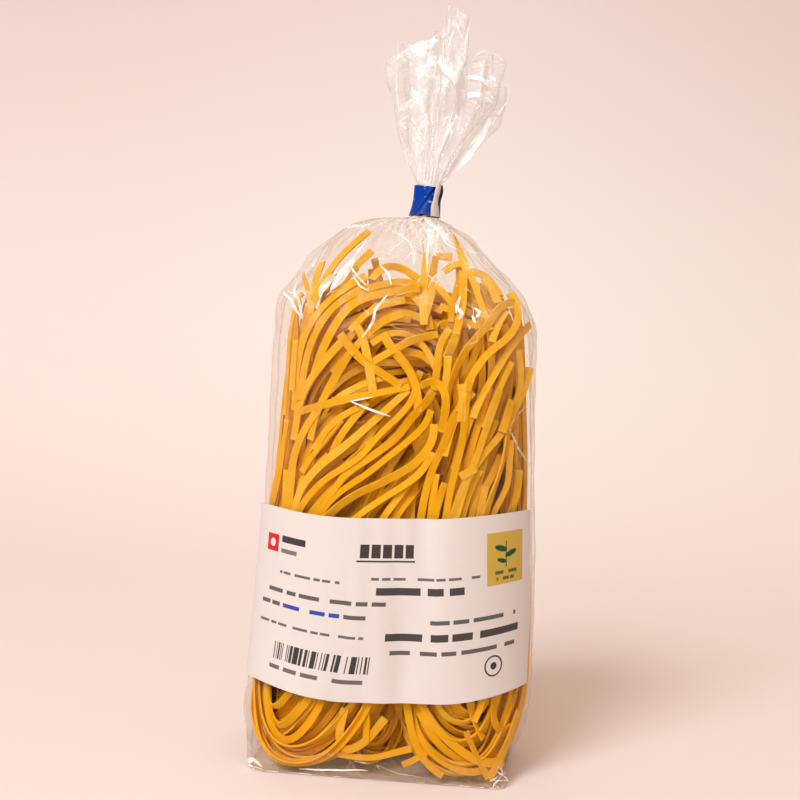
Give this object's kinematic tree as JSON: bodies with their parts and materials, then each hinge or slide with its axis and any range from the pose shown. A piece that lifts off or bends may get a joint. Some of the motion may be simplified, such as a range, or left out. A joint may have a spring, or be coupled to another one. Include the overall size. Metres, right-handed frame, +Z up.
{
  "type": "bag of pasta",
  "caption": "Upright clear block-bottom bag filled with long folded pasta, gathered and taped at the neck under an open ruffled tail, with a paper label round its lower front.",
  "frame": {"origin": "on the surface the bag stands on, under the middle of its bounding box", "axes": "+Z up along the bag from its base to its open tail, -Y out of the labelled front, +X to the viewer's right of the front"},
  "size_m": [0.1178, 0.0736, 0.309],
  "materials": {
    "bag": "clear film over pale gold pasta",
    "label": "uncoated white paper",
    "tie": "glossy blue tape"
  },
  "bodies": {
    "root": {"bag": "bag", "label": "label", "tie": "tie"}
  },
  "joints": []
}
